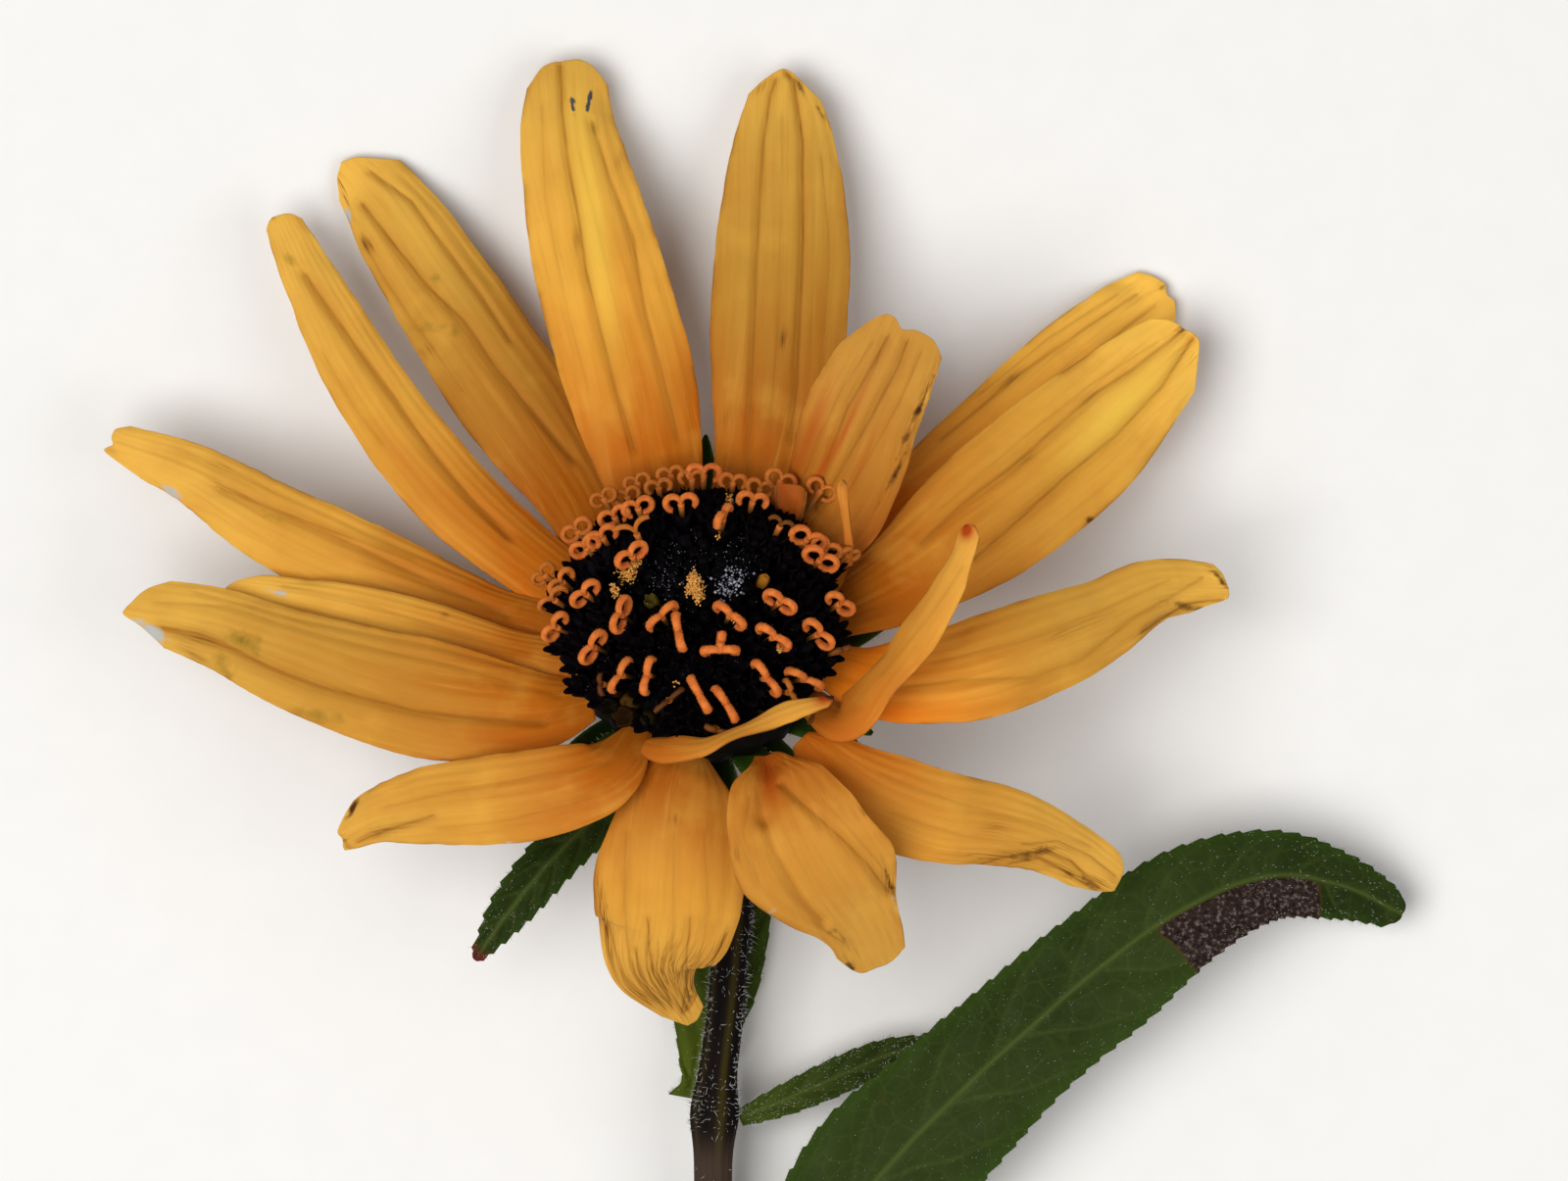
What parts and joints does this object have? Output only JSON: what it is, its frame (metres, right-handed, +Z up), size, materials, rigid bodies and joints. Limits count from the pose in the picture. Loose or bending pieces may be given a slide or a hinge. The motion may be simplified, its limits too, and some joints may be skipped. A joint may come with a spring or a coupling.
{
  "type": "cut sunflower",
  "caption": "Cut swamp sunflower lying down: dark disc of florets with curled styles, golden rays of uneven length, dark stalk with a long leaf and small leaves.",
  "frame": {"origin": "Middle of the bounding box seen from above, on the surface that the flower lies on.", "axes": "+Z is up from the surface. +Y runs along the stalk from its cut end to the head, and is the upward direction of the picture. +X is to the right in the picture. The front, where the name is read from, is +Z."},
  "size_m": [0.07, 0.1014, 0.0212],
  "materials": {
    "disc": "matte",
    "involucre": "matte",
    "stem": "matte",
    "ray": "matte",
    "leaf": "matte"
  },
  "bodies": {
    "root": {"disc": "disc", "involucre": "involucre", "stem": "stem", "ray_01": "ray", "ray_02": "ray", "ray_03": "ray", "ray_04": "ray", "ray_05": "ray", "ray_06": "ray", "ray_07": "ray", "ray_08": "ray", "ray_09": "ray", "ray_10": "ray", "ray_11": "ray", "ray_12": "ray", "ray_13": "ray", "ray_14": "ray", "ray_15": "ray", "ray_16": "ray", "ray_17": "ray", "ray_18": "ray", "leafy_bract": "leaf", "leaf_behind": "leaf", "leaf_small": "leaf", "leaf_large": "leaf"}
  },
  "joints": []
}
